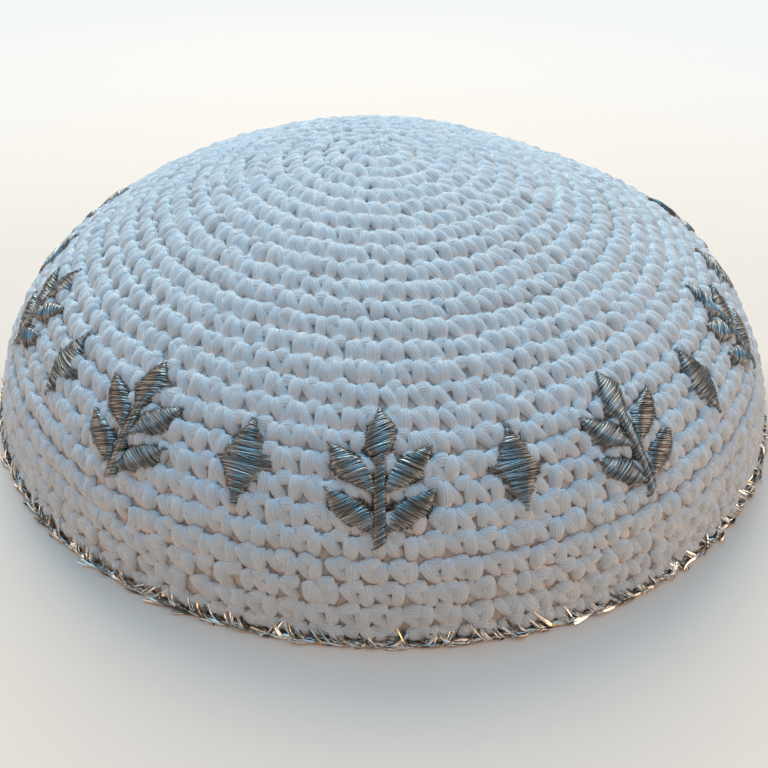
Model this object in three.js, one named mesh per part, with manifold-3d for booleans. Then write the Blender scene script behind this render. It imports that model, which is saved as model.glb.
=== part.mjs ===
// Crocheted skullcap: a deep cotton dome worked in rounds from the middle of its top, finished
// along the rim with a row of silver edging, and embroidered round its side with a band of
// silver sprigs and lozenges.
// Millimetres, +Z up. The cap rests on its rim at Z = 0, with the origin under its middle, and
// its front faces -Y.

import * as THREE from "three";
import { mergeVertices } from "three/addons/utils/BufferGeometryUtils.js";
import Module from "manifold-3d";

const wasm = await Module();
wasm.setup();

// Crochet of the crown
const ROUND_COUNT = 25;
const FIRST_ROUND_RADIUS = 3.9;
const ROUND_PITCH = 4.4;
const FABRIC_THICKNESS = 3;
const RIB_DEPTH = 0.7;

// Outside of the dome, over the crests of its ribs, from the middle of the top to the foot of the rim
const DOME_SECTIONS = [
  { radius: 0, height: 53.9 },
  { radius: 16.2, height: 52.4 },
  { radius: 32.1, height: 49 },
  { radius: 47.3, height: 43.3 },
  { radius: 62, height: 36.5 },
  { radius: 75.3, height: 27.3 },
  { radius: 84.9, height: 14.8 },
  { radius: 89.2, height: 0 },
];

// Points of one round's rib: shares of its height, and of the rib's depth that each lies below the crest
const RIB_POINTS = [
  { along: 0, sink: 1 },
  { along: 0.3, sink: 0 },
  { along: 0.7, sink: 0 },
];
const ROUNDS_PER_INSIDE_POINT = 2;

// The soft dome leans towards -X at the top, and bulges or gives a little in places
const APEX_LEAN = 2.4;
const LEAN_POWER = 3;
const SOFT_SPOTS = [
  { bearing: 15, arc: 79.5, reach: 20, lift: 1.2 },
  { bearing: 48, arc: 59, reach: 20, lift: -1 },
  { bearing: 162, arc: 78, reach: 20, lift: -0.6 },
];

// Silver edging below the last round
const SEAM_GAP = 0.3;
const EDGING_THICKNESS = 2.4;
const EDGING_BULGE = 0.4;

// Embroidered band: pairs of one sprig and one lozenge, padded satin stitch
const FRONT_BEARING = -90;
const MOTIF_PAIRS = 10;
const BAND_ARC = 82;
const SATIN_EDGE = 0.7;
const SATIN_MIDDLE = 1.3;
const STEM = { width: 2.4, foot: [0, -11.5], tip: [0, 3.5] };
const TOP_LEAF = { width: 6.2, foot: [0, 1.5], tip: [0, 12] };
const SIDE_LEAVES = [
  { width: 5.4, foot: [0.7, -2.8], tip: [8.8, 5.4] },
  { width: 5.4, foot: [0.7, -9.3], tip: [9.4, -2.2] },
];
const LOZENGE = { width: 9.6, foot: [0, -7.6], tip: [0, 7.6] };
const BLUNT_TIP = 0.14;

// Facets
const TURN_SEGMENTS = 32;
const PAD_LENGTHS = 4;
const CURVE_DIVISIONS = 600;

const domeCurve = new THREE.SplineCurve(
  DOME_SECTIONS.map(({ radius, height }) => new THREE.Vector2(radius, height)),
);
domeCurve.arcLengthDivisions = CURVE_DIVISIONS;
const domeArc = domeCurve.getLength();
const crownArc = FIRST_ROUND_RADIUS + (ROUND_COUNT - 1) * ROUND_PITCH;
const crownHeight = DOME_SECTIONS[0].height;

// Point of the dome's section at an arc from the middle of the top, out from its outside
function sectionPoint(arc, out) {
  const share = Math.min(arc / domeArc, 1);
  const tangent = domeCurve.getTangentAt(share);
  const point = domeCurve.getPointAt(share);
  point.add(new THREE.Vector2(-tangent.y, tangent.x).multiplyScalar(out));
  point.x = arc === 0 ? 0 : Math.max(point.x, 0);
  return point;
}

// Point of the round dome at an arc and a bearing from +X, in radians
function domePoint(arc, bearing, out) {
  const section = sectionPoint(arc, out);
  return new THREE.Vector3(
    section.x * Math.cos(bearing),
    section.x * Math.sin(bearing),
    section.y,
  );
}

const softSpots = SOFT_SPOTS.map(({ bearing, arc, reach, lift }) => ({
  centre: domePoint(arc, THREE.MathUtils.degToRad(bearing), 0),
  reach,
  lift,
}));

// Moves a point of the round dome to where the soft one lies
function settle(point) {
  const away = point.clone().normalize();
  const lift = softSpots.reduce((sum, spot) => {
    const distance = point.distanceTo(spot.centre) / spot.reach;
    return sum + spot.lift * Math.exp(-distance * distance);
  }, 0);
  const lean = APEX_LEAN * Math.pow(point.z / crownHeight, LEAN_POWER);
  point.addScaledVector(away, lift);
  point.x -= lean;
  return point;
}

// Geometry with shared vertices, each one moved by a function
function reshaped(geometry, move) {
  geometry.deleteAttribute("normal");
  geometry.deleteAttribute("uv");
  const merged = mergeVertices(geometry);
  const position = merged.attributes.position;
  const point = new THREE.Vector3();
  for (let i = 0; i < position.count; i += 1) {
    const moved = move(point.fromBufferAttribute(position, i));
    position.setXYZ(i, moved.x, moved.y, moved.z);
  }
  merged.computeVertexNormals();
  return merged;
}

// Closed section turned about the cap's middle
function turned(section) {
  const geometry = new THREE.LatheGeometry(section, TURN_SEGMENTS);
  geometry.rotateX(Math.PI / 2);
  return reshaped(geometry, settle);
}

function solidOf(geometry) {
  return new wasm.Manifold(
    new wasm.Mesh({
      numProp: 3,
      vertProperties: Float32Array.from(geometry.attributes.position.array),
      triVerts: Uint32Array.from(geometry.index.array),
    }),
  );
}

// One body of several overlapping ones
function joined(geometries) {
  const solids = geometries.map(solidOf);
  const { vertProperties, triVerts } = solids.reduce((sum, solid) => sum.add(solid)).getMesh();
  const geometry = new THREE.BufferGeometry();
  geometry.setAttribute("position", new THREE.BufferAttribute(vertProperties, 3));
  geometry.setIndex(new THREE.BufferAttribute(triVerts, 1));
  geometry.computeVertexNormals();
  return geometry;
}

// Crocheted dome with a rib for each round outside and a smooth inside
function crownGeometry() {
  const section = [sectionPoint(0, 0)];
  for (let round = 1; round < ROUND_COUNT; round += 1) {
    const start = FIRST_ROUND_RADIUS + (round - 1) * ROUND_PITCH;
    for (const { along, sink } of RIB_POINTS) {
      section.push(sectionPoint(start + along * ROUND_PITCH, -sink * RIB_DEPTH));
    }
  }
  section.push(sectionPoint(crownArc, 0));
  const insideStep = ROUNDS_PER_INSIDE_POINT * ROUND_PITCH;
  for (let arc = crownArc; arc > insideStep; arc -= insideStep) {
    section.push(sectionPoint(arc, -FABRIC_THICKNESS));
  }
  section.push(sectionPoint(0, -FABRIC_THICKNESS));
  return turned(section.reverse());
}

// Ring below the last round, with a flat foot
function edgingGeometry() {
  const topArc = crownArc + SEAM_GAP;
  const middleArc = (topArc + domeArc) / 2;
  const foot = sectionPoint(domeArc, 0);
  const topOutside = sectionPoint(topArc, 0);
  const section = [
    topOutside,
    sectionPoint(topArc, -EDGING_THICKNESS),
    new THREE.Vector2(foot.x - EDGING_THICKNESS, 0),
    new THREE.Vector2(foot.x, 0),
    sectionPoint(middleArc, EDGING_BULGE),
    topOutside.clone(),
  ];
  return turned(section);
}

// Outlines of the pads: half widths as shares, along from the foot to the tip
const leafForm = (along) => Math.max(Math.sin(Math.PI * along), BLUNT_TIP);
const lozengeForm = (along) => Math.max(1 - Math.abs(2 * along - 1), BLUNT_TIP);
const stemForm = () => 1;

// Padded satin stitch over the dome, its mid-line given across and up from the band's middle
function padGeometry({ width, foot, tip }, form, bearing) {
  const from = new THREE.Vector2(...foot);
  const line = new THREE.Vector2(...tip).sub(from);
  const side = new THREE.Vector2(line.y, -line.x).normalize();
  const pad = new THREE.BoxGeometry(1, 1, 1, 2, PAD_LENGTHS, 1);
  return reshaped(pad, ({ x, y, z }) => {
    const along = y + 0.5;
    const place = from.clone().addScaledVector(line, along);
    place.addScaledVector(side, x * width * form(along));
    const thickness = x === 0 ? SATIN_MIDDLE : SATIN_EDGE;
    const arc = BAND_ARC - place.y;
    const turn = place.x / sectionPoint(arc, 0).x;
    return settle(domePoint(arc, bearing + turn, SEAM_GAP + (z + 0.5) * thickness));
  });
}

const mirrored = (leaf, hand) => ({
  ...leaf,
  foot: [hand * leaf.foot[0], leaf.foot[1]],
  tip: [hand * leaf.tip[0], leaf.tip[1]],
});

function sprigGeometry(bearing) {
  const sides = SIDE_LEAVES.flatMap((leaf) => [mirrored(leaf, -1), mirrored(leaf, 1)]);
  const leaves = [TOP_LEAF, ...sides].map((leaf) => padGeometry(leaf, leafForm, bearing));
  return joined([padGeometry(STEM, stemForm, bearing), ...leaves]);
}

function lozengeGeometry(bearing) {
  return padGeometry(LOZENGE, lozengeForm, bearing);
}

const cotton = new THREE.MeshStandardMaterial({ color: 0xdfe4e8, roughness: 0.9, metalness: 0 });
const silver = new THREE.MeshStandardMaterial({ color: 0xa9abac, roughness: 0.35, metalness: 1 });

const cap = new THREE.Group();

function addPiece(name, geometry, material) {
  const mesh = new THREE.Mesh(geometry, material);
  mesh.name = name;
  cap.add(mesh);
}

addPiece("crown", crownGeometry(), cotton);
addPiece("rim_edging", edgingGeometry(), silver);
for (let pair = 0; pair < MOTIF_PAIRS; pair += 1) {
  const number = String(pair + 1).padStart(2, "0");
  const turn = 360 / MOTIF_PAIRS;
  const bearing = FRONT_BEARING + pair * turn;
  addPiece(`sprig_${number}`, sprigGeometry(THREE.MathUtils.degToRad(bearing)), silver);
  const between = bearing + turn / 2;
  addPiece(`lozenge_${number}`, lozengeGeometry(THREE.MathUtils.degToRad(between)), silver);
}

export default cap;
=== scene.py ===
"""Looks of a crocheted skullcap: cotton stitches, silver edging and satin-stitch embroidery."""

import logging
import math
from dataclasses import dataclass, field
from enum import Enum

import bpy
import numpy as np
from mathutils import Matrix, Vector


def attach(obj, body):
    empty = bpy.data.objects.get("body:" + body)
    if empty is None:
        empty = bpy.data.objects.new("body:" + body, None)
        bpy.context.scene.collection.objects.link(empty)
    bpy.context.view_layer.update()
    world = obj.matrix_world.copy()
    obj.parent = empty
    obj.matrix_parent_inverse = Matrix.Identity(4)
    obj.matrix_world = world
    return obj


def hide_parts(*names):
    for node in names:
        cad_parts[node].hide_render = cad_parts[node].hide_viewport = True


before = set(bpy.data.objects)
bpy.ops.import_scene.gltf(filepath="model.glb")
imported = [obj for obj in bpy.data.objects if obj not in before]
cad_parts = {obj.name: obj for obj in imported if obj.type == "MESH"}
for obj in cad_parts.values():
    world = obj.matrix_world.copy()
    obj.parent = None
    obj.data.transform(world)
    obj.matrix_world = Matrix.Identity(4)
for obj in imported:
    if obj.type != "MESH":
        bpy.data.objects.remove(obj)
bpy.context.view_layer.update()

LOG = logging.getLogger("skullcap")
Colour = tuple[float, float, float, float]
MM = 0.001
FULL_TURN = 2.0 * math.pi
BODY = "root"
SEED = 26
YARN_MAP = "yarn"
BAKE_MAP = "OFBake"
TONE = "tone"
DEPTH = "depth"
FLAT_SIDES = 4
BLUNT_TIP = 0.12
MIX_SHARE, MIX_FIRST, MIX_SECOND, MIX_RESULT = 0, 6, 7, 2
WAVE_RATE = 20.0


class Slot(Enum):
    """The record's material slots."""

    COTTON = "cotton_yarn"
    SILVER = "silver_thread"


class Motif(Enum):
    """The two kinds of motif in the embroidered band."""

    SPRIG = "sprig"
    LOZENGE = "lozenge"


class PadForm(Enum):
    """Outlines of one pad of satin stitch."""

    STEM = "stem"
    LEAF = "leaf"
    LOZENGE = "lozenge"


@dataclass(frozen=True)
class DomeSection:
    """One row of the dome's outline, in millimetres."""

    radius: float
    height: float


@dataclass(frozen=True)
class SoftSpot:
    """A place where the soft dome bulges or gives, in degrees and millimetres."""

    bearing: float
    arc: float
    reach: float
    lift: float


@dataclass
class Dome:
    """Outside of the cap over the crests of its rounds, in millimetres, placed in metres."""

    sections: tuple[DomeSection, ...] = (
        DomeSection(0.0, 53.9),
        DomeSection(16.2, 52.4),
        DomeSection(32.1, 49.0),
        DomeSection(47.3, 43.3),
        DomeSection(62.0, 36.5),
        DomeSection(75.3, 27.3),
        DomeSection(84.9, 14.8),
        DomeSection(89.2, 0.0),
    )
    spots: tuple[SoftSpot, ...] = (
        SoftSpot(15.0, 79.5, 20.0, 1.2),
        SoftSpot(48.0, 59.0, 20.0, -1.0),
        SoftSpot(162.0, 78.0, 20.0, -0.6),
    )
    apex_lean: float = 2.4
    lean_power: int = 3
    samples: int = 2400

    def __post_init__(self) -> None:
        """Samples the outline along its arc once."""
        points = np.array([(row.radius, row.height) for row in self.sections])
        last = len(points) - 1
        steps = np.linspace(0.0, last, self.samples)
        index = np.minimum(steps.astype(int), last - 1)
        share = (steps - index)[:, None]
        before, start = points[np.maximum(index - 1, 0)], points[index]
        end, after = points[index + 1], points[np.minimum(index + 2, last)]
        leave, arrive = (end - before) / 2.0, (after - start) / 2.0
        outline = (
            (2.0 * start - 2.0 * end + leave + arrive) * share**3
            + (3.0 * end - 3.0 * start - 2.0 * leave - arrive) * share**2
            + leave * share
            + start
        )
        lengths = np.linalg.norm(np.diff(outline, axis=0), axis=1)
        self.arcs = np.concatenate([[0.0], np.cumsum(lengths)])
        self.outline = outline
        self.tangents = np.gradient(outline, self.arcs, axis=0)
        self.length = float(self.arcs[-1])
        self.height = self.sections[0].height

    def section(self, arc: np.ndarray) -> tuple[np.ndarray, np.ndarray, np.ndarray, np.ndarray]:
        """Reads the outline at an arc, straight on past its foot.

        Args:
            arc: distances from the middle of the top.

        Returns:
            Radius, height, and the outward normal's radial and upward parts.
        """
        past = np.maximum(arc - self.length, 0.0)
        along_r = np.interp(arc, self.arcs, self.tangents[:, 0])
        along_z = np.interp(arc, self.arcs, self.tangents[:, 1])
        size = np.hypot(along_r, along_z)
        along_r, along_z = along_r / size, along_z / size
        radius = np.interp(arc, self.arcs, self.outline[:, 0]) + past * along_r
        height = np.interp(arc, self.arcs, self.outline[:, 1]) + past * along_z
        return radius, height, -along_z, along_r

    def radius(self, arc: np.ndarray) -> np.ndarray:
        """Returns the dome's radius at an arc."""
        return self.section(np.asarray(arc, float))[0]

    def round_point(self, arc: np.ndarray, bearing: np.ndarray, out: np.ndarray) -> np.ndarray:
        """Finds points of the true round dome.

        Args:
            arc: distances from the middle of the top, in millimetres.
            bearing: angles from +X, in radians.
            out: distances out from the crests, in millimetres.

        Returns:
            Points in millimetres, on a last axis of three.
        """
        radius, height, normal_r, normal_z = self.section(arc)
        reach = np.maximum(radius + out * normal_r, 0.0)
        parts = (reach * np.cos(bearing), reach * np.sin(bearing), height + out * normal_z)
        return np.stack(np.broadcast_arrays(*parts), axis=-1)

    def place(self, arc: np.ndarray, bearing: np.ndarray, out: np.ndarray) -> np.ndarray:
        """Finds points on the soft dome.

        Args:
            arc: distances from the middle of the top, in millimetres.
            bearing: angles from +X, in radians.
            out: distances out from the crests, in millimetres.

        Returns:
            Points in metres, on a last axis of three.
        """
        points = self.round_point(np.asarray(arc, float), np.asarray(bearing, float), np.asarray(out, float))
        lift = np.zeros(points.shape[:-1])
        for spot in self.spots:
            middle = self.round_point(np.array(spot.arc), np.array(math.radians(spot.bearing)), np.array(0.0))
            away = np.linalg.norm(points - middle, axis=-1) / spot.reach
            lift += spot.lift * np.exp(-(away**2))
        lean = self.apex_lean * (np.maximum(points[..., 2], 0.0) / self.height) ** self.lean_power
        sizes = np.linalg.norm(points, axis=-1, keepdims=True)
        points = points + lift[..., None] * points / np.maximum(sizes, 1.0)
        points[..., 0] -= lean
        return points * MM

    def outward(self, arc: np.ndarray, bearing: np.ndarray) -> np.ndarray:
        """Finds the round dome's outward directions.

        Args:
            arc: distances from the middle of the top, in millimetres.
            bearing: angles from +X, in radians.

        Returns:
            Unit normals, on a last axis of three.
        """
        _, _, normal_r, normal_z = self.section(np.asarray(arc, float))
        parts = (normal_r * np.cos(bearing), normal_r * np.sin(bearing), normal_z)
        return np.stack(np.broadcast_arrays(*parts), axis=-1)


@dataclass
class MeshArrays:
    """Points, faces and surface coordinates of one mesh, gathered from several parts."""

    points: list[np.ndarray] = field(default_factory=list)
    corners: list[np.ndarray] = field(default_factory=list)
    sizes: list[np.ndarray] = field(default_factory=list)
    yarn: list[np.ndarray] = field(default_factory=list)
    bake: list[np.ndarray] = field(default_factory=list)
    cells: list[np.ndarray] = field(default_factory=list)
    tone: list[np.ndarray] = field(default_factory=list)
    depth: list[np.ndarray] = field(default_factory=list)
    count: int = 0
    cell_count: int = 0
    cell_margin: float = 0.06

    def bake_map(self) -> np.ndarray:
        """Returns coordinates that give every strand or sheet a cell of its own."""
        columns = math.ceil(math.sqrt(self.cell_count))
        index = np.concatenate(self.cells)
        corner = np.stack([index % columns, index // columns], axis=1)
        inside = self.cell_margin + (1.0 - 2.0 * self.cell_margin) * np.concatenate(self.bake)
        return (corner + inside) / columns

    def object(self, name: str, smooth: bool) -> bpy.types.Object:
        """Makes a Blender object of the gathered parts.

        Args:
            name: the piece's name.
            smooth: whether its faces are shaded smooth.

        Returns:
            The new object, linked to the scene.
        """
        points = np.concatenate(self.points)
        corners = np.concatenate(self.corners)
        sizes = np.concatenate(self.sizes)
        mesh = bpy.data.meshes.new(name)
        mesh.vertices.add(len(points))
        mesh.vertices.foreach_set("co", points.astype(np.float32).ravel())
        mesh.loops.add(len(corners))
        mesh.loops.foreach_set("vertex_index", corners.astype(np.int32))
        mesh.polygons.add(len(sizes))
        starts = np.concatenate([[0], np.cumsum(sizes)[:-1]])
        mesh.polygons.foreach_set("loop_start", starts.astype(np.int32))
        mesh.polygons.foreach_set("use_smooth", np.full(len(sizes), smooth))
        for map_name, places in ((YARN_MAP, np.concatenate(self.yarn)), (BAKE_MAP, self.bake_map())):
            layer = mesh.uv_layers.new(name=map_name)
            layer.uv.foreach_set("vector", places.astype(np.float32).ravel())
        for value_name, parts in ((TONE, self.tone), (DEPTH, self.depth)):
            values = mesh.attributes.new(value_name, "FLOAT", "POINT")
            values.data.foreach_set("value", np.concatenate(parts).astype(np.float32))
        mesh.update(calc_edges=True)
        piece = bpy.data.objects.new(name, mesh)
        bpy.context.scene.collection.objects.link(piece)
        return piece


@dataclass
class Strands:
    """Many strands alike: paths over the dome with their half widths, half depths and twist."""

    dome: Dome
    arc: np.ndarray
    bearing: np.ndarray
    out: np.ndarray
    half_width: np.ndarray
    half_depth: np.ndarray
    roll: np.ndarray
    sides: int
    end_length: float
    clearance: float = 0.05
    map_spread: float = 100.0

    def add_to(self, target: MeshArrays, rng: np.random.Generator) -> int:
        """Sweeps the section along every path and adds the closed strands to a mesh.

        Args:
            target: the mesh that takes them.
            rng: draws each strand's tone.

        Returns:
            How many triangles they have.
        """
        centres = self.dome.place(self.arc, self.bearing, self.out)
        outward = self.dome.outward(self.arc, self.bearing)
        along = np.gradient(centres, axis=1)
        along /= np.linalg.norm(along, axis=-1, keepdims=True)
        side = np.cross(along, outward)
        side /= np.linalg.norm(side, axis=-1, keepdims=True)
        rise = np.cross(side, along)
        angles = (np.arange(self.sides) + 0.5) * FULL_TURN / self.sides
        across = self.half_width[..., None] * np.sin(angles) * MM
        up = self.half_depth[..., None] * np.cos(angles) * MM
        turn = self.roll[..., None]
        turned_across = across * np.cos(turn) + up * np.sin(turn)
        turned_up = up * np.cos(turn) - across * np.sin(turn)
        rings = (
            centres[:, :, None, :]
            + turned_across[..., None] * side[:, :, None, :]
            + turned_up[..., None] * rise[:, :, None, :]
        )
        reach = self.end_length * MM
        poles = np.stack([centres[:, 0] - along[:, 0] * reach, centres[:, -1] + along[:, -1] * reach], axis=1)
        rings[..., 2] = np.maximum(rings[..., 2], self.clearance * MM)
        poles[..., 2] = np.maximum(poles[..., 2], self.clearance * MM)
        return self._gather(target, rings, poles, rng)

    def _gather(
        self, target: MeshArrays, rings: np.ndarray, poles: np.ndarray, rng: np.random.Generator
    ) -> int:
        """Turns rings and poles into faces with their coordinates and values.

        Args:
            target: the mesh that takes them.
            rings: points by strand, ring and side.
            poles: the two end points of each strand.
            rng: draws each strand's tone.

        Returns:
            How many triangles were added.
        """
        strands, ring_count, sides, _ = rings.shape
        per_strand = ring_count * sides + 2
        points = np.concatenate([poles[:, :1], rings.reshape(strands, -1, 3), poles[:, 1:]], axis=1)
        here = np.arange(sides)
        there = (here + 1) % sides
        first = 1 + here
        quads = []
        quad_uv = []
        girth = np.arange(sides + 1) / sides
        lengths = np.arange(ring_count + 2) / (ring_count + 1)
        for ring in range(ring_count - 1):
            low, high = 1 + ring * sides, 1 + (ring + 1) * sides
            quads.append(np.stack([low + here, low + there, high + there, high + here], axis=1))
            left, right = girth[:-1], girth[1:]
            start, end = np.full(sides, lengths[ring + 1]), np.full(sides, lengths[ring + 2])
            corners = [(left, start), (right, start), (right, end), (left, end)]
            quad_uv.append(np.stack([np.stack(pair, axis=1) for pair in corners], axis=1))
        last = 1 + (ring_count - 1) * sides
        pole = np.zeros(sides, int)
        fans = [
            np.stack([pole, 1 + there, first], axis=1),
            np.stack([last + here, last + there, pole + per_strand - 1], axis=1),
        ]
        middle = (girth[:-1] + girth[1:]) / 2.0
        near, far = np.full(sides, lengths[1]), np.full(sides, lengths[-2])
        start_uv = [(middle, np.zeros(sides)), (girth[1:], near), (girth[:-1], near)]
        end_uv = [(girth[:-1], far), (girth[1:], far), (middle, np.ones(sides))]
        fan_uv = [np.stack([np.stack(p, axis=1) for p in uv], axis=1) for uv in (start_uv, end_uv)]
        corner_ids = np.concatenate([part.ravel() for part in (*quads, *fans)])
        corner_uv = np.concatenate([part.reshape(-1, 2) for part in (*quad_uv, *fan_uv)])
        face_sizes = np.concatenate([np.full(sides * (ring_count - 1), 4), np.full(2 * sides, 3)])
        offsets = target.count + np.arange(strands) * per_strand
        target.points.append(points.reshape(-1, 3))
        target.corners.append((offsets[:, None] + corner_ids).ravel())
        target.sizes.append(np.tile(face_sizes, strands))
        target.yarn.append(self._yarn_map(corner_uv, rng))
        target.bake.append(np.tile(corner_uv, (strands, 1)))
        target.cells.append(np.repeat(target.cell_count + np.arange(strands), len(corner_uv)))
        target.tone.append(np.repeat(rng.random(strands), per_strand))
        # Each point's depth below the crests, which sets how much painted warm shade the cotton gives it.
        shade_sink = np.clip(-self.out, 0.0, None)
        ring_depth = np.repeat(shade_sink, sides, axis=1)
        target.depth.append(np.concatenate([shade_sink[:, :1], ring_depth, shade_sink[:, -1:]], axis=1).ravel())
        target.count += strands * per_strand
        target.cell_count += strands
        return strands * (2 * sides * (ring_count - 1) + 2 * sides)

    def _yarn_map(self, corner_uv: np.ndarray, rng: np.random.Generator) -> np.ndarray:
        """Spreads the strands over the yarn's pattern.

        Args:
            corner_uv: one strand's coordinates, from 0 to 1.
            rng: draws how far each strand is moved.

        Returns:
            Coordinates in millimetres round and along each strand.
        """
        strands = len(self.arc)
        moves = rng.random((strands, 1, 2)) * self.map_spread
        girth = FULL_TURN * float(self.half_width.mean())
        length = float(np.abs(np.diff(self.arc, axis=1)).sum(axis=1).mean()) + 2.0 * self.end_length
        return (corner_uv * np.array([girth, length]) + moves).reshape(-1, 2)


def bent(start: float, middle: float, end: float, along: np.ndarray) -> np.ndarray:
    """Bends a value smoothly through three others.

    Args:
        start: the value at 0.
        middle: the value at one half.
        end: the value at 1.
        along: where to read it, from 0 to 1.

    Returns:
        The value at each place.
    """
    return (
        start * (1.0 - along) * (1.0 - 2.0 * along)
        + middle * 4.0 * along * (1.0 - along)
        + end * along * (2.0 * along - 1.0)
    )


def per_strand(rng: np.random.Generator, amount: float, count: int) -> np.ndarray:
    """Returns one random difference for each strand, as a column."""
    return rng.normal(0.0, amount, (count, 1))


@dataclass(frozen=True)
class YarnRun:
    """A visible run of yarn in one stitch: shares of its cell, with depths in millimetres."""

    across: tuple[float, float, float]
    up: tuple[float, float, float]
    out: tuple[float, float, float]
    half_width: float
    half_depth: float
    ends: tuple[float, float]
    sides: int
    rings: int
    twist: float
    wander: float
    for_width: float = 5.0
    thinning: float = 0.3


LEFT_LEG = YarnRun(
    across=(-0.52, -0.27, 0.06),
    up=(0.38, 0.02, -0.5),
    out=(-0.86, -0.72, -1.85),
    half_width=1.25,
    half_depth=0.95,
    ends=(0.95, 0.75),
    sides=10,
    rings=6,
    twist=0.35,
    wander=0.07,
)
RIGHT_LEG = YarnRun(
    across=(0.2, 0.26, 0.2),
    up=(0.42, 0.02, -0.5),
    out=(-0.8, -0.58, -1.8),
    half_width=1.4,
    half_depth=1.05,
    ends=(0.95, 0.75),
    sides=10,
    rings=6,
    twist=0.3,
    wander=0.07,
)
TOP_LOOP = YarnRun(
    across=(-0.32, -0.1, 0.14),
    up=(0.32, 0.4, 0.42),
    out=(-0.9, -0.62, -0.7),
    half_width=1.35,
    half_depth=0.9,
    ends=(0.85, 0.85),
    sides=10,
    rings=5,
    twist=0.3,
    wander=0.07,
)


@dataclass
class CrochetCrown:
    """The cotton dome: rounds of single crochet, each stitch made of its visible runs of yarn."""

    dome: Dome
    round_count: int = 25
    first_round: float = 3.9
    round_pitch: float = 4.4
    top_stitch: float = 3.7
    stitch_growth: float = 0.0165
    first_stitches: int = 6
    eye_radius: float = 0.9
    hem_height: float = 2.5
    lean_spread: float = 0.02
    drift_up_share: float = 0.6
    depth_spread: float = 0.1
    belly_power: float = 0.8
    narrowest: float = 0.15
    widest: float = 1.15
    plump_spread: float = 0.08
    roll_spread: float = 0.14
    end_length: float = 0.45
    zone_triangles: int = 150_000
    runs: tuple[YarnRun, ...] = (LEFT_LEG, RIGHT_LEG, TOP_LOOP)

    @property
    def round_heights(self) -> list[float]:
        """Heights of the rounds from the middle of the top to the low one under the edging."""
        return [self.first_round, *[self.round_pitch] * (self.round_count - 1), self.hem_height]

    @property
    def arc_end(self) -> float:
        """Arc from the middle of the top to the foot of the last round."""
        return sum(self.round_heights)

    @property
    def round_middles(self) -> list[float]:
        """Arcs from the middle of the top to the middle of each round."""
        heights = self.round_heights
        return [sum(heights[:number]) + height / 2.0 for number, height in enumerate(heights)]

    def stitch_count(self, middle: float) -> int:
        """Returns how many stitches a round has, by its middle arc."""
        around = FULL_TURN * float(self.dome.radius(middle))
        return max(self.first_stitches, round(around / (self.top_stitch + self.stitch_growth * middle)))

    def stitch_cells(self, rng: np.random.Generator) -> np.ndarray:
        """Lays out the cells of every stitch, round by round.

        Args:
            rng: draws where each round starts.

        Returns:
            Rows of the round's number, the cell's middle arc, its height, its bearing and its angle.
        """
        rows = []
        for number, (middle, height) in enumerate(zip(self.round_middles, self.round_heights)):
            count = self.stitch_count(middle)
            angle = FULL_TURN / count
            bearings = rng.random() * FULL_TURN + angle * np.arange(count)
            fixed = np.array([number, middle, height])
            cells = np.concatenate([np.tile(fixed, (count, 1)), bearings[:, None]], axis=1)
            rows.append(np.concatenate([cells, np.full((count, 1), angle)], axis=1))
        return np.concatenate(rows)

    def strands(self, run: YarnRun, cells: np.ndarray, rng: np.random.Generator) -> Strands:
        """Makes one run of yarn in every cell.

        Args:
            run: the run's shape.
            cells: rows of stitch_cells.
            rng: draws how each run differs.

        Returns:
            The strands.
        """
        count = len(cells)
        along = np.linspace(0.0, 1.0, run.rings)[None, :]
        _, middle, height, bearing, angle = (column[:, None] for column in cells.T)
        drift = rng.normal(0.0, run.wander, (count, 2))
        across = bent(*run.across, along) + drift[:, :1] + per_strand(rng, self.lean_spread, count) * along
        up = bent(*run.up, along) + drift[:, 1:] * self.drift_up_share
        out = bent(*run.out, along) + per_strand(rng, self.depth_spread, count)
        swell = run.ends[0] + (run.ends[1] - run.ends[0]) * along
        belly = swell + (1.0 - swell) * np.sin(math.pi * along) ** self.belly_power
        room = angle * self.dome.radius(middle) / run.for_width
        narrow = np.clip(room, self.narrowest, self.widest) ** run.thinning
        plump = 1.0 + per_strand(rng, self.plump_spread, count)
        roll = run.twist * (along - 0.5) + per_strand(rng, self.roll_spread, count)
        return Strands(
            dome=self.dome,
            arc=np.maximum(middle - up * height, self.eye_radius),
            bearing=bearing + across * angle,
            out=out,
            half_width=run.half_width * belly * plump * narrow,
            half_depth=run.half_depth * belly * plump,
            roll=roll,
            sides=run.sides,
            end_length=self.end_length,
        )

    def build(self, rng: np.random.Generator) -> list[bpy.types.Object]:
        """Builds the stitches in zones of whole rounds.

        Args:
            rng: draws how the stitches differ.

        Returns:
            One object for each zone.
        """
        cells = self.stitch_cells(rng)
        per_stitch = sum(2 * run.rings * run.sides for run in self.runs)
        stitches_before = np.searchsorted(cells[:, 0], cells[:, 0])
        zones = stitches_before * per_stitch // self.zone_triangles
        pieces = []
        for zone in range(int(zones.max()) + 1):
            target = MeshArrays()
            chosen = cells[zones == zone]
            triangles = sum(self.strands(run, chosen, rng).add_to(target, rng) for run in self.runs)
            name = f"crown_stitches_{zone + 1}"
            pieces.append(target.object(name, smooth=True))
            LOG.info("%s: %d stitches, %d triangles", name, len(chosen), triangles)
        return pieces

    def dress(self, pieces: list[bpy.types.Object], cotton: bpy.types.Material) -> None:
        """Gives the stitches their yarn and puts them in the crown's place."""
        for piece in pieces:
            settle_piece(piece, cotton, ["crown"])


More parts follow.
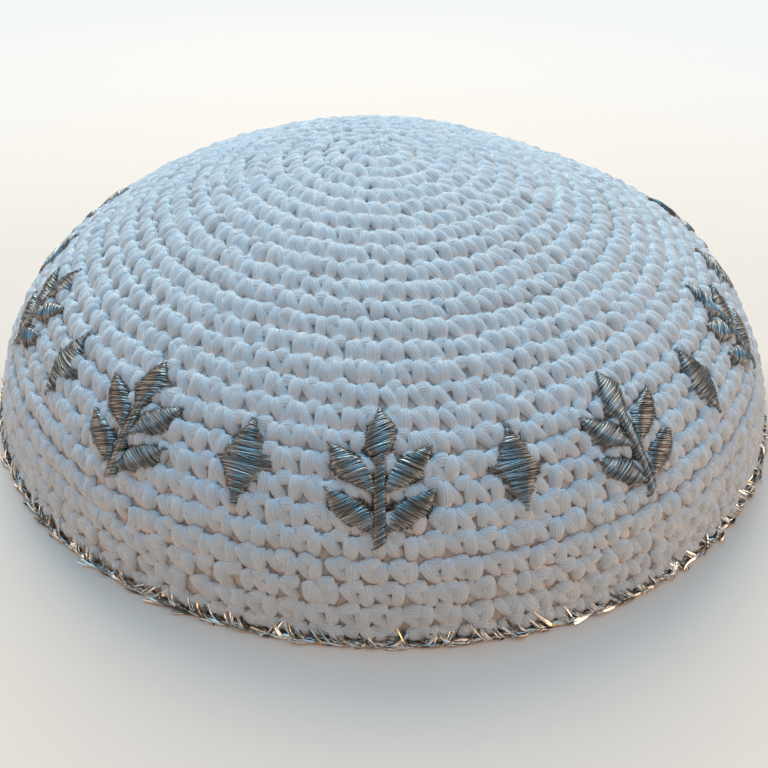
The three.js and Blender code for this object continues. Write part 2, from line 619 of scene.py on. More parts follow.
@dataclass
class CrownInside:
    """The back of the fabric: a closed wall behind the stitches, ribbed on the head's side."""

    dome: Dome
    crown: CrochetCrown
    front: float = -1.0
    ridge: float = 0.1
    # Painted shade: a depth given to the front sheet so the cotton paints it warm brown where it shows
    # through the gaps between stitches.
    front_shade_depth: float = 1.45
    back: float = -2.7
    rib: float = 0.45
    rib_share: float = 0.45
    knob_share: float = 0.55
    around: int = 188
    arc_steps: int = 4
    inside_depth: float = 0.6
    tone: float = 0.5
    clearance: float = 0.05
    sheet_spread: float = 0.46
    foot_spread: float = 0.49

    @property
    def bearings(self) -> np.ndarray:
        """Angles of the points round each ring, in radians."""
        return np.arange(self.around) * FULL_TURN / self.around

    @property
    def arcs(self) -> np.ndarray:
        """Arcs of the rings from the middle of the top, without the top itself."""
        steps = self.crown.round_count * self.arc_steps
        return np.linspace(0.0, self.crown.arc_end, steps + 1)[1:]

    def build(self) -> bpy.types.Object:
        """Builds the wall as one closed mesh and returns its object."""
        arcs = self.arcs
        bearings = self.bearings
        wave = np.sin(math.pi * (arcs - self.crown.first_round) / self.crown.round_pitch) ** 2
        wave *= np.minimum(arcs / self.crown.first_round, 1.0) ** 2
        ends = np.cumsum(self.crown.round_heights)
        middles = np.array(self.crown.round_middles)[np.searchsorted(ends[:-1], arcs)]
        counts = np.array([self.crown.stitch_count(middle) for middle in middles])
        knob = 0.5 + 0.5 * np.cos(counts[:, None] * bearings[None, :])
        back = self.back - self.rib * wave[:, None] * (self.rib_share + self.knob_share * knob)
        front = self.front + self.ridge * (1.0 - wave[:, None]) * np.ones_like(back)
        sheets = [self.dome.place(arcs[:, None], bearings[None, :], out) for out in (front, back)]
        tops = [self.dome.place(0.0, 0.0, out)[None, :] for out in (self.front, self.back)]
        points = np.concatenate([tops[0], sheets[0].reshape(-1, 3), tops[1], sheets[1].reshape(-1, 3)])
        points[:, 2] = np.maximum(points[:, 2], self.clearance * MM)
        return self._mesh(points, len(arcs))

    def _mesh(self, points: np.ndarray, rows: int) -> bpy.types.Object:
        """Joins the two sheets along the foot into one closed mesh.

        Args:
            points: the front sheet with its top, then the back sheet with its top.
            rows: rings of each sheet.

        Returns:
            The new object.
        """
        per_sheet = 1 + rows * self.around
        here = np.arange(self.around)
        there = (here + 1) % self.around
        low = 1 + (np.arange(rows - 1) * self.around)[:, None]
        high = low + self.around
        front_quads = np.stack([low + here, high + here, high + there, low + there], axis=-1).reshape(-1, 4)
        back_quads = front_quads[:, ::-1] + per_sheet
        foot = 1 + (rows - 1) * self.around
        foot_ring = [foot + here, foot + here + per_sheet, foot + there + per_sheet, foot + there]
        foot_quads = np.stack(foot_ring, axis=-1)
        top = np.zeros(self.around, int)
        front_fan = np.stack([top, 1 + here, 1 + there], axis=-1)
        back_fan = front_fan[:, ::-1] + per_sheet
        quads = np.concatenate([front_quads, back_quads, foot_quads])
        fans = np.concatenate([front_fan, back_fan])
        target = MeshArrays()
        target.points.append(points)
        target.corners.append(np.concatenate([quads.ravel(), fans.ravel()]))
        target.sizes.append(np.concatenate([np.full(len(quads), 4), np.full(len(fans), 3)]))
        flat = self._flat_map()
        corner_uv = flat[target.corners[0]]
        target.yarn.append(corner_uv)
        spread = np.full(len(corner_uv), self.sheet_spread)
        foot_start = front_quads.size + back_quads.size
        spread[foot_start : foot_start + foot_quads.size : 4] = self.foot_spread
        spread[foot_start + 3 : foot_start + foot_quads.size : 4] = self.foot_spread
        cell_middle = 0.5
        target.bake.append(cell_middle + spread[:, None] * corner_uv / np.abs(flat).max())
        front_cell, back_cell = 0, 1
        owners = [front_cell, back_cell, back_cell, front_cell, back_cell]
        lengths = [part.size for part in (front_quads, back_quads, foot_quads, front_fan, back_fan)]
        target.cells.append(np.repeat(owners, lengths))
        target.cell_count = 2
        target.tone.append(np.full(len(points), self.tone))
        # The front sheet carries the painted-shade depth; the inside keeps the plain cotton colour.
        target.depth.append(np.repeat([self.front_shade_depth, self.inside_depth], per_sheet))
        LOG.info("crown_inside: %d triangles", 2 * len(quads) + len(fans))
        return target.object("crown_inside", smooth=True)

    def _flat_map(self) -> np.ndarray:
        """Lays the two sheets out flat.

        Returns:
            Each point's place in millimetres, the front sheet's points first.
        """
        directions = (np.cos(self.bearings), np.sin(self.bearings))
        flat = np.stack([np.outer(self.arcs, direction) for direction in directions], axis=-1)
        sheet = np.concatenate([np.zeros((1, 2)), flat.reshape(-1, 2)])
        return np.concatenate([sheet, sheet])

    def dress(self, piece: bpy.types.Object, cotton: bpy.types.Material) -> None:
        """Gives the wall its yarn and puts it in the crown's place."""
        settle_piece(piece, cotton, ["crown"])


@dataclass(frozen=True)
class WrapShape:
    """Strands slanted over the foot of the last round: shares of a stitch, and millimetres."""

    strands: int = 4
    side_reach: float = 0.1
    slant: float = -0.5
    back_slant: float = 0.42
    back_slant_share: float = 0.25
    slant_spread: float = 0.1
    strand_slant_spread: float = 0.04
    place_spread: float = 0.08
    strand_place_spread: float = 0.02
    below_foot: float = 0.1
    reach_up: float = 2.9
    reach_spread: float = 0.35
    root: float = -0.2
    loft: float = 1.05
    loft_spread: float = 0.1
    arch_start: float = 0.1
    arch_share: float = 0.96
    arch_power: float = 0.7


@dataclass(frozen=True)
class ChainShape:
    """Strands that weave along the foot and flick out: shares of a stitch, and millimetres."""

    strands: int = 9
    half_width: float = 0.27
    tip_share: float = 0.35
    belly_share: float = 0.65
    length: float = 1.35
    overlap: float = 0.2
    place_spread: float = 0.08
    above_foot: float = 0.25
    climb: float = 0.4
    weave_up: float = 0.35
    height_spread: float = 0.1
    root: float = 0.1
    weave_out: float = 0.36
    flick: float = 0.75
    flick_spread: float = 0.3
    flick_power: float = 1.5
    depth_spread: float = 0.08


@dataclass(frozen=True)
class LooseShape:
    """Short loose ends that stand off the edging, in radians and millimetres."""

    strands: int = 240
    rings: int = 4
    width_share: float = 0.7
    bearing_spread: float = 0.025
    root_reach: float = 2.4
    tip_spread: float = 0.8
    root: float = -0.2
    reach_out: float = 1.6


@dataclass
class RimEdging:
    """The row of flat silver strands crocheted over the rim."""

    dome: Dome
    stitches: int = 102
    rings: int = 7
    half_width: float = 0.19
    half_depth: float = 0.06
    width_spread: float = 0.15
    roll_spread: float = 0.5
    end_length: float = 0.1
    wrap: WrapShape = WrapShape()
    chain: ChainShape = ChainShape()
    loose: LooseShape = LooseShape()

    @property
    def cell(self) -> float:
        """The angle of one stitch of the edging, in radians."""
        return FULL_TURN / self.stitches

    def build(self, rng: np.random.Generator) -> bpy.types.Object:
        """Builds the wraps, the chain along the foot and the loose ends.

        Args:
            rng: draws how the strands differ.

        Returns:
            The new object.
        """
        target = MeshArrays()
        triangles = sum(
            strands.add_to(target, rng) for strands in (self._wraps(rng), self._chain(rng), self._loose(rng))
        )
        LOG.info("rim_edging_strands: %d triangles", triangles)
        return target.object("rim_edging_strands", smooth=False)

    def _strands(
        self,
        arc: np.ndarray,
        bearing: np.ndarray,
        out: np.ndarray,
        half_width: np.ndarray,
        rng: np.random.Generator,
    ) -> Strands:
        """Makes flat strands along given paths, each one turned at random.

        Args:
            arc: the paths' distances from the middle of the top, in millimetres.
            bearing: the paths' angles from +X, in radians.
            out: the paths' distances out from the dome, in millimetres.
            half_width: half the strands' width, in millimetres.
            rng: draws each strand's width and turn.

        Returns:
            The strands.
        """
        shape = np.broadcast(arc, bearing, out).shape
        count = shape[0]
        arc, bearing, out = (np.broadcast_to(value, shape).copy() for value in (arc, bearing, out))
        width = half_width * (1.0 + per_strand(rng, self.width_spread, count)) * np.ones(shape)
        return Strands(
            dome=self.dome,
            arc=arc,
            bearing=bearing,
            out=out,
            half_width=width,
            half_depth=np.full(shape, self.half_depth),
            roll=per_strand(rng, self.roll_spread, count) * np.ones(shape),
            sides=FLAT_SIDES,
            end_length=self.end_length,
        )

    def _wraps(self, rng: np.random.Generator) -> Strands:
        """Makes the slanted wraps that hold the edging to the last round.

        Args:
            rng: draws how the strands differ.

        Returns:
            The strands.
        """
        shape = self.wrap
        wraps = 2 * self.stitches
        count = wraps * shape.strands
        along = np.linspace(0.0, 1.0, self.rings)[None, :]
        wrap = np.repeat(np.arange(wraps), shape.strands)[:, None]
        place = np.tile(np.linspace(-shape.side_reach, shape.side_reach, shape.strands), wraps)[:, None]
        leans = np.where(rng.random(wraps) < shape.back_slant_share, shape.back_slant, shape.slant)
        leans = leans + rng.normal(0.0, shape.slant_spread, wraps)
        slant = leans[wrap] + per_strand(rng, shape.strand_slant_spread, count)
        base = (wrap / 2.0 + rng.normal(0.0, shape.place_spread, wraps)[wrap]) * self.cell
        offset = place + per_strand(rng, shape.strand_place_spread, count) + slant * along
        top = shape.reach_up + per_strand(rng, shape.reach_spread, count)
        arc = self.dome.length + shape.below_foot - top * along
        loft = shape.loft + per_strand(rng, shape.loft_spread, count)
        arch = np.sin(math.pi * np.clip(along * shape.arch_share + shape.arch_start, 0.0, 1.0))
        out = shape.root + loft * arch**shape.arch_power
        return self._strands(arc, base + self.cell * offset, out, np.array(self.half_width), rng)

    def _chain(self, rng: np.random.Generator) -> Strands:
        """Makes the strands that weave along the foot and flick out at each stitch.

        Args:
            rng: draws how the strands differ.

        Returns:
            The strands.
        """
        shape = self.chain
        count = self.stitches * shape.strands
        along = np.linspace(0.0, 1.0, self.rings)[None, :]
        stitch = np.repeat(np.arange(self.stitches), shape.strands)[:, None]
        strand = np.tile(np.arange(shape.strands), self.stitches)[:, None]
        turn = FULL_TURN * along + strand * FULL_TURN / shape.strands
        drift = per_strand(rng, shape.place_spread, count)
        bearing = (stitch + shape.length * along - shape.overlap + drift) * self.cell
        foot = self.dome.length - shape.above_foot - shape.climb * along
        arc = foot + shape.weave_up * np.sin(turn) + per_strand(rng, shape.height_spread, count)
        flick = np.abs(rng.normal(shape.flick, shape.flick_spread, self.stitches))[stitch]
        flick = flick * (1.0 + per_strand(rng, shape.flick_spread, count))
        out = shape.root + shape.weave_out * np.cos(turn) + flick * (1.0 - along) ** shape.flick_power
        out = out + per_strand(rng, shape.depth_spread, count)
        lens = shape.half_width * (shape.tip_share + shape.belly_share * np.sin(math.pi * along))
        return self._strands(arc, bearing, out, lens, rng)

    def _loose(self, rng: np.random.Generator) -> Strands:
        """Makes short loose ends that stand off the edging.

        Args:
            rng: draws how the strands differ.

        Returns:
            The strands.
        """
        shape = self.loose
        count = shape.strands
        along = np.linspace(0.0, 1.0, shape.rings)[None, :]
        bearing = rng.random((count, 1)) * FULL_TURN + per_strand(rng, shape.bearing_spread, count) * along
        root = self.dome.length - rng.random((count, 1)) * shape.root_reach
        arc = root + per_strand(rng, shape.tip_spread, count) * along
        out = shape.root + rng.random((count, 1)) * shape.reach_out * along
        return self._strands(arc, bearing, out, np.array(shape.width_share * self.half_width), rng)

    def dress(self, piece: bpy.types.Object, silver: bpy.types.Material) -> None:
        """Gives the strands their finish and puts them in the edging's place."""
        settle_piece(piece, silver, ["rim_edging"])


@dataclass(frozen=True)
class SatinPad:
    """One pad of satin stitch: its mid-line across and up from the band's middle, in millimetres."""

    form: PadForm
    width: float
    foot: tuple[float, float]
    tip: tuple[float, float]
    slant: float

    def mirrored(self) -> "SatinPad":
        """Returns the same pad on the other side of the motif."""
        foot, tip = (-self.foot[0], self.foot[1]), (-self.tip[0], self.tip[1])
        return SatinPad(self.form, self.width, foot, tip, -self.slant)

    def half(self, along: np.ndarray) -> np.ndarray:
        """Finds half the pad's width.

        Args:
            along: places on its mid-line, from 0 at the foot to 1 at the tip.

        Returns:
            Half widths in millimetres.
        """
        inside = np.clip(along, 0.0, 1.0)
        shares = {
            PadForm.STEM: np.ones_like(inside),
            PadForm.LEAF: np.sin(math.pi * inside),
            PadForm.LOZENGE: 1.0 - np.abs(2.0 * inside - 1.0),
        }
        return self.width / 2.0 * np.maximum(shares[self.form], BLUNT_TIP)


LEAF_SLANT = 0.45
SIDE_LEAVES = (
    SatinPad(PadForm.LEAF, 5.4, (0.7, -2.8), (8.8, 5.4), LEAF_SLANT),
    SatinPad(PadForm.LEAF, 5.4, (0.7, -9.3), (9.4, -2.2), LEAF_SLANT),
)
MOTIF_PADS: dict[Motif, tuple[SatinPad, ...]] = {
    Motif.SPRIG: (
        SatinPad(PadForm.STEM, 2.4, (0.0, -11.5), (0.0, 3.5), 0.6),
        SatinPad(PadForm.LEAF, 6.2, (0.0, 1.5), (0.0, 12.0), LEAF_SLANT),
        *SIDE_LEAVES,
        *(leaf.mirrored() for leaf in SIDE_LEAVES),
    ),
    Motif.LOZENGE: (SatinPad(PadForm.LOZENGE, 9.6, (0.0, -7.6), (0.0, 7.6), 0.0),),
}


@dataclass
class EmbroideredBand:
    """The ring of satin-stitch motifs, every thread a strand of its own."""

    dome: Dome
    front_bearing: float = -90.0
    pairs: int = 10
    band_arc: float = 82.0
    thread_spacing: float = 0.23
    thread_half_width: float = 0.17
    thread_half_depth: float = 0.13
    fewest_threads: int = 4
    place_spread: float = 0.006
    overshoot: float = 0.07
    slant_spread: float = 0.08
    outline_slack: float = 1.25
    loft: float = 0.8
    loft_spread: float = 0.06
    slim_share: float = 0.55
    full_share: float = 0.45
    full_half_width: float = 2.5
    crown_power: float = 0.6
    root: float = 0.35
    roll_spread: float = 0.35
    end_length: float = 0.12
    rings: int = 6

    def build(self, rng: np.random.Generator) -> dict[str, bpy.types.Object]:
        """Builds every motif.

        Args:
            rng: draws how the threads differ.

        Returns:
            Objects by the name of the node that each stands for.
        """
        pieces = {}
        for number in range(self.pairs):
            for half, motif in enumerate(Motif):
                bearing = math.radians(self.front_bearing + (number + half / 2.0) * 360.0 / self.pairs)
                node = f"{motif.value}_{number + 1:02d}"
                pieces[node] = self._motif(node, motif, bearing, rng)
        return pieces

    def _motif(self, node: str, motif: Motif, bearing: float, rng: np.random.Generator) -> bpy.types.Object:
        """Builds one motif.

        Args:
            node: the name of its node.
            motif: which kind it is.
            bearing: where its middle lies, in radians.
            rng: draws how the threads differ.

        Returns:
            The new object.
        """
        target = MeshArrays()
        triangles = sum(self._threads(pad, bearing, rng).add_to(target, rng) for pad in MOTIF_PADS[motif])
        LOG.info("%s_threads: %d triangles", node, triangles)
        return target.object(f"{node}_threads", smooth=True)

    def _threads(self, pad: SatinPad, bearing: float, rng: np.random.Generator) -> Strands:
        """Lays threads side by side across one pad.

        Args:
            pad: the pad.
            bearing: where the motif's middle lies, in radians.
            rng: draws how the threads differ.

        Returns:
            The threads.
        """
        foot, tip = np.array(pad.foot), np.array(pad.tip)
        line = tip - foot
        length = float(np.linalg.norm(line))
        side = np.array([line[1], -line[0]]) / length
        count = max(self.fewest_threads, round(length / self.thread_spacing))
        middle = (np.arange(count)[:, None] + 0.5) / count + per_strand(rng, self.place_spread, count)
        reach = np.linspace(-1.0, 1.0, self.rings)[None, :]
        over = 1.0 + np.abs(per_strand(rng, self.overshoot, count))
        slant = pad.slant + per_strand(rng, self.slant_spread, count)
        half = pad.half(middle)
        along = middle + slant * reach * half / length
        across = reach * over * np.minimum(half, self.outline_slack * pad.half(along))
        places = foot + along[..., None] * line + across[..., None] * side
        arc = self.band_arc - places[..., 1]
        crowned = np.sqrt(np.clip(1.0 - reach**2, 0.0, 1.0)) ** self.crown_power
        fullness = self.slim_share + self.full_share * np.minimum(half / self.full_half_width, 1.0)
        loft = self.loft * fullness * (1.0 + per_strand(rng, self.loft_spread, count))
        out = -self.root + (loft + self.root) * crowned
        shape = arc.shape
        return Strands(
            dome=self.dome,
            arc=arc,
            bearing=bearing + places[..., 0] / self.dome.radius(arc),
            out=out,
            half_width=np.full(shape, self.thread_half_width),
            half_depth=np.full(shape, self.thread_half_depth),
            roll=per_strand(rng, self.roll_spread, count) * np.ones(shape),
            sides=FLAT_SIDES,
            end_length=self.end_length,
        )

    def dress(self, pieces: dict[str, bpy.types.Object], silver: bpy.types.Material) -> None:
        """Gives the threads their finish and puts each motif in its node's place."""
        for node, piece in pieces.items():
            settle_piece(piece, silver, [node])


def settle_piece(piece: bpy.types.Object, finish: bpy.types.Material, nodes: list[str]) -> None:
    """Gives a piece its finish and its place in the frame.

    Args:
        piece: the piece.
        finish: its material.
        nodes: the nodes that it stands for.
    """
    piece.data.materials.append(finish)
    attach(piece, BODY)
    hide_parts(*nodes)


@dataclass
class NodeGraph:
    """A material's node tree, built by name."""

    material: bpy.types.Material

    @classmethod
    def fresh(cls, name: str) -> "NodeGraph":
        """Starts a material with only its shader and output.

        Args:
            name: the material's name.

        Returns:
            The material's graph.
        """
        material = bpy.data.materials.new(name)
        material.use_nodes = True
        return cls(material)

    @property
    def shader(self) -> bpy.types.Node:
        """The material's main shader."""
        return self.material.node_tree.nodes["Principled BSDF"]

    def add(self, kind: str, settings: dict[str, object] | None = None, **inputs: object) -> bpy.types.Node:
        """Adds a node.

        Args:
            kind: the node's type.
            settings: its properties.
            inputs: values or output sockets for its inputs, with _ for a space.

        Returns:
            The node.
        """
        node = self.material.node_tree.nodes.new(kind)
        for key, value in (settings or {}).items():
            setattr(node, key, value)
        for key, value in inputs.items():
            self.feed(node, key.replace("_", " "), value)
        return node

    def feed(self, node: bpy.types.Node, key: str | int, value: object) -> None:
        """Sets an input to a value or links an output socket to it.

        Args:
            node: the node.
            key: the input's name or number.
            value: the value or the socket.
        """
        if isinstance(value, bpy.types.NodeSocket):
            self.material.node_tree.links.new(value, node.inputs[key])
        else:
            node.inputs[key].default_value = value

    def mix(self, share: object, first: object, second: object) -> bpy.types.NodeSocket:
        """Mixes two colours.

        Args:
            share: how much of the second, from 0 to 1.
            first: the first colour.
            second: the second colour.

        Returns:
            The result's socket.
        """
        node = self.add("ShaderNodeMix", {"data_type": "RGBA"})
        for key, value in ((MIX_SHARE, share), (MIX_FIRST, first), (MIX_SECOND, second)):
            self.feed(node, key, value)
        return node.outputs[MIX_RESULT]

    def span(
        self, value: object, low: float, high: float, to_low: object, to_high: object
    ) -> bpy.types.NodeSocket:
        """Maps a value from one range to another.

        Args:
            value: the value.
            low: where the first range starts.
            high: where the first range ends.
            to_low: where the second range starts.
            to_high: where the second range ends.

        Returns:
            The result's socket.
        """
        keys = ("Value", "From Min", "From Max", "To Min", "To Max")
        node = self.add("ShaderNodeMapRange")
        for key, number in zip(keys, (value, low, high, to_low, to_high)):
            self.feed(node, key, number)
        return node.outputs["Result"]

    def value_of(self, name: str) -> bpy.types.NodeSocket:
        """Returns the socket of a value kept on the mesh."""
        return self.add("ShaderNodeAttribute", {"attribute_name": name}).outputs["Fac"]

    def strand_noise(self, scale: tuple[float, float, float], detail: float) -> bpy.types.NodeSocket:
        """Makes noise drawn out along the strands.

        Args:
            scale: its scale per millimetre, round and along a strand.
            detail: how fine it is.

        Returns:
            The noise's socket.
        """
        place = self.add("ShaderNodeUVMap", {"uv_map": YARN_MAP}).outputs["UV"]
        mapped = self.add("ShaderNodeMapping", Vector=place, Scale=scale).outputs["Vector"]
        return self.add("ShaderNodeTexNoise", Vector=mapped, Scale=1.0, Detail=detail).outputs["Fac"]

    def plies(self, width: float, shortening: float, waver: float) -> bpy.types.NodeSocket:
        """Makes the rounded backs of plies along the strands.

        Args:
            width: a ply's width, in millimetres.
            shortening: the waver's scale along a strand, as a share of that round it.
            waver: how far the plies wander.

        Returns:
            The socket of their height, from 0 to 1.
        """
        place = self.add("ShaderNodeUVMap", {"uv_map": YARN_MAP}).outputs["UV"]
        mapped = self.add("ShaderNodeMapping", Vector=place, Scale=(1.0, shortening, 1.0)).outputs["Vector"]
        settings = {"wave_type": "BANDS", "bands_direction": "X", "wave_profile": "SIN"}
        wave = self.add("ShaderNodeTexWave", settings, Vector=mapped, Distortion=waver, Detail=1.0)
        self.feed(wave, "Scale", FULL_TURN / WAVE_RATE / width)
        return wave.outputs["Fac"]


@dataclass(frozen=True)
class CottonFinish:
    """Soft white cotton yarn, with painted warm shade where it lies deep between the stitches and painted
    shade in the grooves between its plies.
    """

    cool: Colour = (0.62, 0.64, 0.66, 1.0)
    pale: Colour = (0.68, 0.68, 0.68, 1.0)
    # Painted shade: the darker grey laid in the grooves between the plies.
    painted_groove_shade: Colour = (0.48, 0.5, 0.52, 1.0)
    # Painted warm shade: the brown mixed in where the yarn lies deep, standing in for the shade and warm
    # bounce between stitches.
    painted_shade: Colour = (0.88, 0.66, 0.53, 1.0)
    painted_shade_from: float = 0.88
    painted_shade_to: float = 1.5
    painted_shade_share: float = 0.75
    roughness: float = 0.85
    sheen: float = 0.3
    glow: float = 0.82
    glow_reach: float = 0.0017
    glow_tint: tuple[float, float, float] = (1.0, 1.0, 1.0)
    ply_width: float = 0.52
    ply_height: float = 0.00016
    ply_strength: float = 0.65
    ply_shortening: float = 0.12
    ply_waver: float = 1.2
    # Where the plies' height falls below this, the painted groove shade starts.
    painted_groove_from: float = 0.45
    painted_groove_share: float = 0.55
    patch_scale: tuple[float, float, float] = (0.2, 0.2, 1.0)
    patch_detail: float = 1.0
    patch_from: float = 0.42
    patch_to: float = 0.6

    def material(self) -> bpy.types.Material:
        """Builds the yarn's material."""
        graph = NodeGraph.fresh("cotton_yarn")
        tone = graph.mix(graph.value_of(TONE), self.cool, self.pale)
        # Painted shade: the deeper a point lies below the crests, the more of the warm brown it gets.
        shade_sink = graph.span(graph.value_of(DEPTH), self.painted_shade_from, self.painted_shade_to, 0.0, self.painted_shade_share)
        plies = graph.plies(self.ply_width, self.ply_shortening, self.ply_waver)
        patches = graph.strand_noise(self.patch_scale, self.patch_detail)
        # Painted shade in the ply grooves, stronger in some patches than in others.
        groove_shade_strength = graph.span(patches, self.patch_from, self.patch_to, 0.0, self.painted_groove_share)
        groove_shaded_tone = graph.mix(graph.span(plies, self.painted_groove_from, 0.0, 0.0, groove_shade_strength), tone, self.painted_groove_shade)
        bump = graph.add("ShaderNodeBump", Strength=self.ply_strength, Distance=self.ply_height, Height=plies)
        graph.feed(graph.shader, "Base Color", graph.mix(shade_sink, groove_shaded_tone, self.painted_shade))
        graph.feed(graph.shader, "Roughness", self.roughness)
        graph.feed(graph.shader, "Sheen Weight", self.sheen)
        graph.shader.subsurface_method = "BURLEY"
        graph.feed(graph.shader, "Subsurface Weight", self.glow)
        graph.feed(graph.shader, "Subsurface Radius", self.glow_tint)
        graph.feed(graph.shader, "Subsurface Scale", self.glow_reach)
        graph.feed(graph.shader, "Normal", bump.outputs["Normal"])
        return graph.material


@dataclass(frozen=True)
class SilverFinish:
    """Metallised silver thread with differences from strand to strand; in the film, the dark strands are
    painted shade among the bright ones.
    """

    name: str
    dark: Colour
    bright: Colour
    smoothest: float
    roughest: float
    dark_share: float = 0.0
    bright_share: float = 1.0
    gold: Colour = (0.96, 0.76, 0.46, 1.0)
    gold_from: float = 1.0
    gold_edge: float = 0.01
    streak_scale: tuple[float, float, float] = (3.0, 0.9, 1.0)
    streak_detail: float = 2.0
    streak_from: float = 0.3
    streak_to: float = 0.7
    streak_strength: float = 0.4
    streak_height: float = 0.00005

    def material(self) -> bpy.types.Material:
        """Builds the thread's material."""
        graph = NodeGraph.fresh(self.name)
        streaks = graph.strand_noise(self.streak_scale, self.streak_detail)
        tone = graph.value_of(TONE)
        share = graph.span(tone, self.dark_share, self.bright_share, 0.0, 1.0)
        gilt = graph.span(tone, self.gold_from, self.gold_from + self.gold_edge, 0.0, 1.0)
        silver = graph.mix(share, self.dark, self.bright)
        graph.feed(graph.shader, "Base Color", graph.mix(gilt, silver, self.gold))
        graph.feed(graph.shader, "Metallic", 1.0)
        gloss = graph.span(streaks, self.streak_from, self.streak_to, self.smoothest, self.roughest)
        graph.feed(graph.shader, "Roughness", gloss)
        depth = {"Strength": self.streak_strength, "Distance": self.streak_height}
        bump = graph.add("ShaderNodeBump", Height=streaks, **depth)
        graph.feed(graph.shader, "Normal", bump.outputs["Normal"])
        return graph.material


SATIN = SilverFinish(
    name="silver_satin",
    dark=(0.14, 0.13, 0.12, 1.0),
    bright=(0.46, 0.45, 0.43, 1.0),
    smoothest=0.22,
    roughest=0.4,
)
# The film's dark strands, drawn at random, stand in for the shade and dark reflections between the bright
# strands: painted shade.
FILM = SilverFinish(
    name="silver_film",
    dark=(0.16, 0.15, 0.13, 1.0),
    bright=(1.0, 0.97, 0.93, 1.0),
    smoothest=0.14,
    roughest=0.34,
    dark_share=0.25,
    bright_share=0.45,
    gold_from=0.94,
)


@dataclass(frozen=True)
class FloorFinish:
    """Plain pale floor that fades into the room, in metres from the cap's middle."""

    colour: Colour = (0.97, 0.73, 0.58, 1.0)
    shade: Colour = (0.96, 0.72, 0.57, 1.0)
    cloud_scale: float = 3.0
    cloud_detail: float = 2.0
    roughness: float = 0.9
    fade_from: float = 0.1
    fade_to: float = 0.32

    def material(self) -> bpy.types.Material:
        """Builds the floor's material."""
        graph = NodeGraph.fresh("pale_floor")
        clouds = graph.add("ShaderNodeTexNoise", Scale=self.cloud_scale, Detail=self.cloud_detail)
        place = graph.add("ShaderNodeNewGeometry").outputs["Position"]
        away = graph.add("ShaderNodeVectorMath", {"operation": "LENGTH"}, Vector=place).outputs["Value"]
        graph.feed(graph.shader, "Base Color", graph.mix(clouds.outputs["Fac"], self.colour, self.shade))
        graph.feed(graph.shader, "Roughness", self.roughness)
        graph.feed(graph.shader, "Alpha", graph.span(away, self.fade_from, self.fade_to, 1.0, 0.0))
        return graph.material


@dataclass(frozen=True)
class SoftLight:
    """An area light aimed at the cap, in metres and watts."""

    name: str
    place: tuple[float, float, float]
    size: float
    power: float
    colour: tuple[float, float, float]

    def build(self, target: Vector) -> None:
        """Adds the light to the scene, out of the camera's sight.

        Args:
            target: the point that it faces.
        """
        data = bpy.data.lights.new(self.name, "AREA")
        data.shape = "DISK"
        data.size = self.size
        data.energy = self.power
        data.color = self.colour
        light = bpy.data.objects.new(self.name, data)
        light.location = self.place
        light.visible_camera = False
        light.rotation_euler = (target - Vector(self.place)).to_track_quat("-Z", "Y").to_euler()
        bpy.context.scene.collection.objects.link(light)


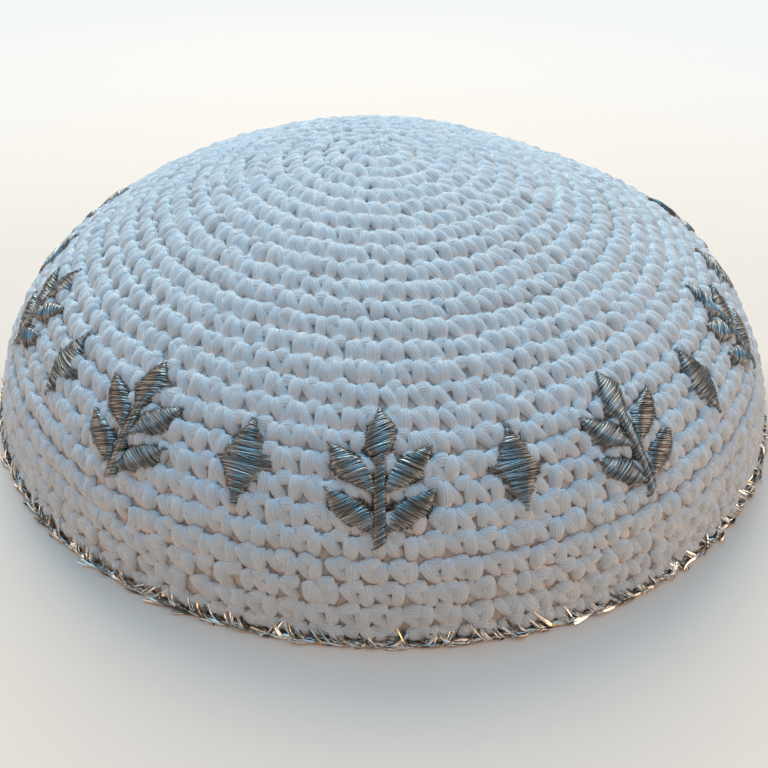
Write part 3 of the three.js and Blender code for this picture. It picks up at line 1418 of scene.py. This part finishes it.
@dataclass
class Studio:
    """Floor, light and camera."""

    floor_radius: float = 0.35
    floor_sides: int = 64
    camera_distance: float = 0.2427
    camera_elevation: float = 33.85
    camera_pitch: float = 35.38
    camera_roll: float = 1.5
    camera_near: float = 0.01
    focal_share: float = 985.0 / 768.0
    sensor: float = 36.0
    world_colour: Colour = (0.8, 0.93, 1.0, 1.0)
    world_strength: float = 0.282
    backdrop_colour: Colour = (0.92, 0.94, 0.94, 1.0)
    light_aim: tuple[float, float, float] = (0.0, 0.0, 0.03)
    lights: tuple[SoftLight, ...] = (
        SoftLight("window", (-0.1, 0.9, 0.72), 0.8, 11.3, (1.0, 1.0, 0.88)),
        SoftLight("blue_sky", (-0.05, 0.25, 0.9), 0.8, 5.4, (0.05, 0.53, 1.0)),
        SoftLight("warm_left", (-0.75, -0.15, 0.25), 0.6, 1.35, (1.0, 0.62, 0.4)),
        SoftLight("warm_front", (0.0, -0.7, 0.08), 0.5, 0.4, (1.0, 0.5, 0.2)),
        SoftLight("warm_right", (0.75, -0.15, 0.25), 0.6, 2.1, (1.0, 0.68, 0.46)),
    )

    def build(self) -> None:
        """Builds the whole studio."""
        self._floor()
        self._world()
        self._camera()
        for light in self.lights:
            light.build(Vector(self.light_aim))
        bpy.context.scene.view_settings.view_transform = "Standard"

    def _floor(self) -> None:
        """Lays the floor under the rim."""
        angles = np.arange(self.floor_sides) * FULL_TURN / self.floor_sides
        rim = np.stack([np.cos(angles), np.sin(angles), np.zeros_like(angles)], axis=1) * self.floor_radius
        mesh = bpy.data.meshes.new("floor")
        mesh.from_pydata(rim.tolist(), [], [list(range(self.floor_sides))])
        mesh.materials.append(FloorFinish().material())
        floor = bpy.data.objects.new("floor", mesh)
        bpy.context.scene.collection.objects.link(floor)

    def _world(self) -> None:
        """Sets the even light all round, which shows as a pale backdrop."""
        world = bpy.data.worlds.new("soft_room")
        world.use_nodes = True
        tree = world.node_tree
        light = tree.nodes["Background"]
        light.inputs["Color"].default_value = self.world_colour
        light.inputs["Strength"].default_value = self.world_strength
        backdrop = tree.nodes.new("ShaderNodeBackground")
        backdrop.inputs["Color"].default_value = self.backdrop_colour
        seen = tree.nodes.new("ShaderNodeLightPath").outputs["Is Camera Ray"]
        choice = tree.nodes.new("ShaderNodeMixShader")
        sources = (seen, light.outputs["Background"], backdrop.outputs["Background"])
        for source, socket in zip(sources, choice.inputs):
            tree.links.new(source, socket)
        tree.links.new(choice.outputs["Shader"], tree.nodes["World Output"].inputs["Surface"])
        bpy.context.scene.world = world

    def _camera(self) -> None:
        """Sets the camera at the photograph's angle."""
        lift, pitch, roll = (
            math.radians(angle) for angle in (self.camera_elevation, self.camera_pitch, self.camera_roll)
        )
        place = Vector((0.0, -math.cos(lift), math.sin(lift))) * self.camera_distance
        ahead = Vector((0.0, math.cos(pitch), -math.sin(pitch)))
        level_right = Vector((1.0, 0.0, 0.0))
        level_up = level_right.cross(ahead)
        right = level_right * math.cos(roll) + level_up * math.sin(roll)
        up = level_up * math.cos(roll) - level_right * math.sin(roll)
        turn = Matrix((right, up, -ahead)).transposed()
        data = bpy.data.cameras.new("photo_camera")
        data.sensor_width = self.sensor
        data.lens = self.sensor * self.focal_share
        data.clip_start = self.camera_near
        camera = bpy.data.objects.new("photo_camera", data)
        camera.matrix_world = Matrix.Translation(place) @ turn.to_4x4()
        bpy.context.scene.collection.objects.link(camera)
        bpy.context.scene.camera = camera


def main() -> None:
    """Builds and dresses the cap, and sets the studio."""
    logging.basicConfig(level=logging.INFO, format="%(name)s: %(message)s")
    rng = np.random.default_rng(SEED)
    dome = Dome()
    cotton = CottonFinish().material()
    satin = SATIN.material()
    film = FILM.material()
    crown = CrochetCrown(dome)
    crown.dress(crown.build(rng), cotton)
    inside = CrownInside(dome, crown)
    inside.dress(inside.build(), cotton)
    edging = RimEdging(dome)
    edging.dress(edging.build(rng), film)
    band = EmbroideredBand(dome)
    band.dress(band.build(rng), satin)
    Studio().build()


if __name__ == "__main__":
    main()
